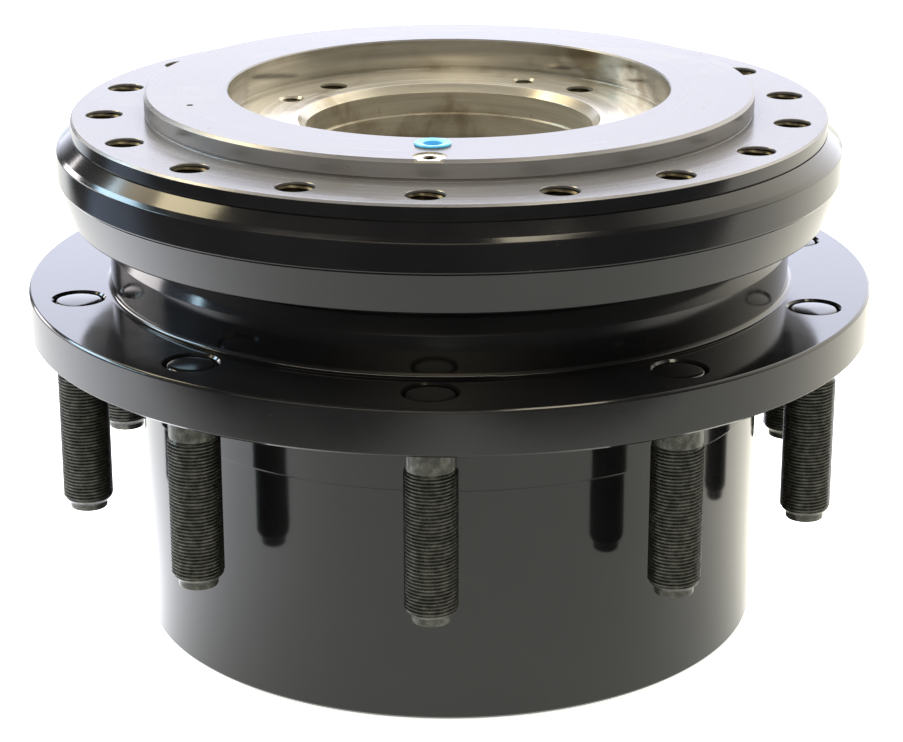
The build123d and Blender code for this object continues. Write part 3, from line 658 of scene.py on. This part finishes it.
hub_corners = mm_outline([
    (128.8, 0.0, 0.3),
    (barrel - 1.5, 0.0, 0.6),
    (barrel, 1.5, 0.6),
    (barrel, PILOT_FOOT, 0.15),
    (pilot, PILOT_FOOT + 0.8, 0.25),
    (pilot, flange_foot, 1.2),
    (flange - 1.0, flange_foot, 0.5),
    (flange, flange_foot + 1.0, 0.5),
    (flange, flange_top - 1.0, 1.0),
    (flange - 1.0, flange_top, 1.0),
    (NECK, flange_top, 2.5),
    (NECK, NECK_BEVEL_Z, 0.3),
    (NECK_TOP, 184.0, 0.5),
    (NECK_TOP, 207.0, 0.4),
    (NECK_TOP - 1.0, 208.0, 0.4),
    (133.5, 208.0, 0.3),
    (133.5, 193.0, 0.3),
    (128.0, 193.0, 0.0),
    (128.0, 160.0, 0.0),
    (120.0, 160.0, 0.3),
    (120.0, 146.0, 0.3),
    (128.0, 146.0, 0.0),
    (128.0, 5.5, 0.0),
    (131.0, 5.5, 0.0),
    (131.0, 2.5, 0.0),
    (128.0, 2.5, 0.0),
    (128.0, 0.8, 0.2),
])
stud_places = ring_points(STUD_CIRCLE_R, 10, HUB_REST_ANGLE, 0)

bore_stations = [(STUD_R + 1.4 * MM, -ABOVE), (STUD_R + 0.9 * MM, 0), (STUD_R, 0.9 * MM), (STUD_R, 30 * MM)]
stud_bores = [(place + Vector((0, 0, FLANGE_TOP_Z)), bore_stations) for place in stud_places]

hub = turned("hub_casting", hub_corners, arc_steps=6)
cut(hub, hole_cutter("stud_bore_cutter", stud_bores))
assign_by_place(hub, [ENAMEL], lambda centre: 0)
finish_shading(hub)
complete(hub, "hub", "black_paint", "wheel_hub")

# ------------------------------------------------------------------ the wheel studs

STUD_PITCH = 1.5 * MM
STUD_CORE_R = STUD_R - 0.6134 * STUD_PITCH
STUD_STEPS = 64                      # faces round a stud
THREAD_LOW_Z = STUD_LOW_Z + 4.6 * MM
THREAD_HIGH_Z = FLANGE_FOOT_Z - 11.5 * MM


def stud_outline(low_z, rows):
    """Points in metres from rows of (radius, height over low_z) in millimetres."""
    return [(radius * MM, low_z + rise * MM) for radius, rise in rows]


STUD_NOSE = stud_outline(STUD_LOW_Z, [(0.0, 0.0), (7.6, 0.0), (8.05, 0.15), (8.25, 0.6), (8.25, 2.6), (8.5, 3.0)])
STUD_NOSE += [(STUD_CORE_R, THREAD_LOW_Z)]
STUD_SHANK = [(STUD_CORE_R, THREAD_HIGH_Z), (10.3 * MM, THREAD_HIGH_Z + 0.5 * MM),
              (10.35 * MM, FLANGE_FOOT_Z - 0.6 * MM), (STUD_R, FLANGE_FOOT_Z), (STUD_R, STUD_HIGH_Z - 2.5 * MM)]
STUD_SHANK += stud_outline(STUD_HIGH_Z, [(10.8, -2.2), (10.0, -0.95), (9.65, -0.6), (9.1, -0.38), (7.6, -0.24),
                                         (5.2, -0.11), (2.6, -0.03), (0.0, 0.0)])


def build_studs(work):
    profile = thread_profile(STUD_R, STUD_CORE_R)
    for place in stud_places:
        turn_outline(work, STUD_NOSE, STUD_STEPS, place, closed=False)
        helix_surface(work, profile, STUD_PITCH, THREAD_LOW_Z, THREAD_HIGH_Z, STUD_STEPS, place)
        turn_outline(work, STUD_SHANK, STUD_STEPS, place, closed=False)
    clean(work)


studs = new_object("threaded_wheel_studs", build_studs)
assign_by_place(studs, [PHOSPHATE, ENAMEL], lambda centre: 1 if centre.z > FLANGE_TOP_Z - 4 * MM else 0)
finish_shading(studs, radians(28))
complete(studs, "hub", "black_phosphate", "wheel_studs")

# ------------------------------------------------------------------ the port plug

plug_r = (PLUG_HIGH.x - PLUG_LOW.x) / 2
plug_top = PLUG_HIGH.z
plug = turned("blue_port_plug", [
    (0.0, plug_top - 4.5 * MM),
    (3.4 * MM, plug_top - 4.5 * MM, 0.5 * MM),
    (3.9 * MM, plug_top - 0.5 * MM, 0.45 * MM),
    (plug_r - 0.2 * MM, plug_top, 0.6 * MM),
    (plug_r, TOP_Z + 0.05 * MM, 0.3 * MM),
    (5.4 * MM, TOP_Z + 0.05 * MM, 0.2 * MM),
    (5.3 * MM, TOP_Z - 7.6 * MM, 0.8 * MM),
    (0.0, TOP_Z - 7.6 * MM),
], steps=96, centre=Vector((PLUG_CENTRE.x, PLUG_CENTRE.y, 0)))
plug.data.materials.append(BLUE)
finish_shading(plug)
complete(plug, "spindle", "blue_plastic", "port_plug")

# ------------------------------------------------------------------ the brake springs

SPRING_FOOT_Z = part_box("spring_seat")[1].z
SPRING_TOP_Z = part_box("brake_springs")[1].z
SPRING_WIRE_R = 1.5 * MM
SPRING_COIL_R = 6.0 * MM
SPRING_TURNS = 3
SPRING_COUNT = 8
SPRING_CIRCLE_R = 63.0 * MM


def build_springs(work):
    """Coil springs round the axis, between the spring seat and the piston."""
    steps, sides = 120, 12
    low = SPRING_FOOT_Z + SPRING_WIRE_R + 0.1 * MM
    high = SPRING_TOP_Z - SPRING_WIRE_R
    for place in ring_points(SPRING_CIRCLE_R, SPRING_COUNT, pi / 2, 0):
        rings = []
        for step in range(steps + 1):
            share = step / steps
            ring = []
            for side in range(sides):
                round_wire = 2 * pi * side / sides
                r = SPRING_COIL_R + SPRING_WIRE_R * cos(round_wire)
                z = low + (high - low) * share + SPRING_WIRE_R * sin(round_wire)
                ring.append(work.verts.new(place + round_point(r, 2 * pi * SPRING_TURNS * share, z)))
            rings.append(ring)
        for a, b in zip(rings, rings[1:]):
            for side in range(sides):
                after = (side + 1) % sides
                work.faces.new((a[side], a[after], b[after], b[side]))
        work.faces.new(rings[0])
        work.faces.new(rings[-1])


springs = new_object("coil_springs", build_springs)
springs.data.materials.append(SPRING_STEEL)
finish_shading(springs, radians(50))
complete(springs, "spindle", "spring_steel", "brake_springs")
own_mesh(springs)

# ------------------------------------------------------------------ floor, light and camera

AIM = Vector((0, 0, 0.2))            # the point that every light faces
LIGHT_DISTANCE = 2.2
WALL_AZIMUTH = 155                   # the middle of the bright wall, in degrees


def window(name, azimuth, elevation, width, tall, radiance):
    """A soft rectangular light at a direction and of a size in degrees, with the radiance of each colour."""
    light = bpy.data.lights.new(name, "AREA")
    light.shape = "RECTANGLE"
    light.size = 2 * LIGHT_DISTANCE * tan(radians(width / 2))
    light.size_y = 2 * LIGHT_DISTANCE * tan(radians(tall / 2))
    strongest = max(radiance)
    light.energy = pi * light.size * light.size_y * strongest
    light.color = tuple(value / strongest for value in radiance)
    obj = bpy.data.objects.new(name, light)
    bpy.context.scene.collection.objects.link(obj)
    tilt = radians(elevation)
    obj.location = AIM + at_angle(LIGHT_DISTANCE * cos(tilt), radians(azimuth), LIGHT_DISTANCE * sin(tilt))
    obj.rotation_mode = "QUATERNION"
    obj.rotation_quaternion = (AIM - obj.location).to_track_quat("-Z", "Y")
    obj.visible_camera = False
    return obj


for row in (
    ("cool_window", -103, 26, 31, 9, (8.0, 11.5, 14.0)),
    ("low_window", -120, 10.5, 34, 9, (7.6, 7.2, 7.2)),
    ("warm_lamp", -106, 45.5, 17, 13, (11.0, 9.4, 6.0)),
    ("warm_ceiling", 44, 60, 20, 8, (8.0, 7.2, 5.5)),
    ("front_band", -22, 52, 60, 4, (7.5, 6.7, 5.5)),
):
    window(*row)
overhead = window("overhead_fill", 0, 89, 90, 90, (2.4, 2.3, 2.1))
overhead.visible_glossy = False


def plane(name, half_size, z, material):
    """A level square sheet under the part."""
    obj = new_object(name, lambda work: bmesh.ops.create_grid(work, x_segments=1, y_segments=1, size=half_size))
    obj.location.z = z
    obj.data.materials.append(material)
    return obj


def floor_material():
    """A pale matt table, bright enough to read as white."""
    n = Nodes("pale_table")
    cloud = n.ramp(n.noise(n.object_xyz, 3.0, 3.0), 0.3, 0.7)
    pale = n.mix(cloud, (0.93, 0.93, 0.93, 1), (0.95, 0.945, 0.935, 1))
    n.set(Base_Color=pale, Roughness=0.55, Emission_Color=pale, Emission_Strength=0.75)
    return n.material


def card_material():
    """The brightness of the table as the glossy paint sees it: bright at the sides, dark past its front edges."""
    n = Nodes("reflected_table")
    x, y, _ = n.split(n.object_xyz)
    normalised = n.add("ShaderNodeVectorMath", operation="NORMALIZE")
    n.link(n.object_xyz, normalised.inputs[0])
    heading = normalised.outputs[0]
    lit = n.total(
        (1.20, 1.20, 1.10),
        n.scaled((1.85, 1.90, 2.15), n.lobe(heading, -88, 0, 38)),
        n.scaled((0.92, 0.84, 0.66), n.lobe(heading, 118, 0, 38)),
    )
    left_edge = n.ramp(n.math("ADD", y, n.times(x, 0.636)), -0.71, -0.53)
    right_edge = n.ramp(n.math("ADD", y, n.times(x, -0.6)), -0.72, -0.62)
    side_edge = n.ramp(x, -0.74, -0.60)
    lit = n.scaled(lit, n.times(left_edge, right_edge))
    beyond = n.scaled((0.45, 0.58, 0.80), n.ramp(y, 0.25, 0.40, 1.0, 0.0))
    behind = n.scaled((1.25, 1.35, 1.50), n.ramp(y, 0.50, 0.65))
    beyond = n.total(beyond, behind)
    beyond = n.scaled(beyond, n.times(n.math("SUBTRACT", 1.0, side_edge), left_edge))
    light = n.total(n.scaled(lit, side_edge), beyond, (0.09, 0.09, 0.09))
    n.set(Base_Color=(0.0, 0.0, 0.0, 1), Roughness=1.0, Specular_IOR_Level=0.0)
    n.set(Emission_Color=light, Emission_Strength=1.0)
    return n.material


ground = plane("ground", 6.0, 0.0, floor_material())
ground.visible_glossy = False
bounce = plane("bounce_card", 6.0, -0.002, card_material())
bounce.visible_camera = False
bounce.visible_diffuse = False
bounce.visible_shadow = False


def build_world():
    """The studio round the part: a bright wall behind and to the right, dim in front and overhead."""
    world = bpy.data.worlds.new("studio")
    bpy.context.scene.world = world
    world.use_nodes = True
    w = Tree(world.node_tree)
    direction = w.add("ShaderNodeTexCoord").outputs["Generated"]
    x, y, z = w.split(direction)
    level = w.math("SQRT", w.math("ADD", w.times(x, x), w.times(y, y)))
    elevation = w.times(w.math("ARCTAN2", z, level), 180 / pi)
    middle = at_angle(1, radians(WALL_AZIMUTH), 0)
    along = w.math("ADD", w.times(x, middle.x), w.times(y, middle.y))
    across = w.math("SUBTRACT", w.times(y, middle.x), w.times(x, middle.y))
    offset = w.times(w.math("ARCTAN2", across, along), 180 / pi)
    wall = w.times(w.ramp(offset, -84, -20), w.ramp(offset, 44, 60, 1.0, 0.0), w.ramp(elevation, 48, 68, 1.0, 0.0))
    tint = w.ramp(offset, -30, 25)
    warm_end = w.scaled((2.6, 2.45, 2.1), w.math("SUBTRACT", 1.0, tint))
    wall_colour = w.total(warm_end, w.scaled((2.85, 2.95, 3.5), tint))
    sky = w.total(
        (0.12, 0.115, 0.11),
        w.scaled(wall_colour, wall),
        w.scaled((1.25, 1.08, 0.76), w.lobe(direction, 0, 20, 20)),
        w.scaled((0.35, 0.45, 0.60), w.lobe(direction, -92, 6, 22)),
        w.scaled((4.0, 3.3, 2.2), w.lobe(direction, -122, 36, 7)),
    )
    w.link(sky, world.node_tree.nodes["Background"].inputs["Color"])
    world.node_tree.nodes["Background"].inputs["Strength"].default_value = 1.0


build_world()

LENS = 101.83                        # the camera's own values, in millimetres, metres and degrees
CAMERA_REACH = 1.1061
CAMERA_RISE = 0.33467
CAMERA_PITCH = radians(19.146)
CAMERA_YAW = radians(0.045)
CAMERA_ROLL = radians(-0.080)
camera_data = bpy.data.cameras.new("camera")
camera_data.sensor_width = 36.0
camera_data.lens = LENS
camera_data.clip_end = 50.0
camera = bpy.data.objects.new("camera", camera_data)
bpy.context.scene.collection.objects.link(camera)
camera.matrix_world = (
    Matrix.Translation(at_angle(CAMERA_REACH, CAMERA_AZIMUTH, FLANGE_TOP_Z + CAMERA_RISE))
    @ Matrix.Rotation(CAMERA_AZIMUTH - CAMERA_YAW, 4, "Z")
    @ Matrix.Rotation(pi / 2 - CAMERA_PITCH, 4, "X")
    @ Matrix.Rotation(CAMERA_ROLL, 4, "Z")
)
bpy.context.scene.camera = camera
bpy.context.scene.view_settings.view_transform = "Standard"
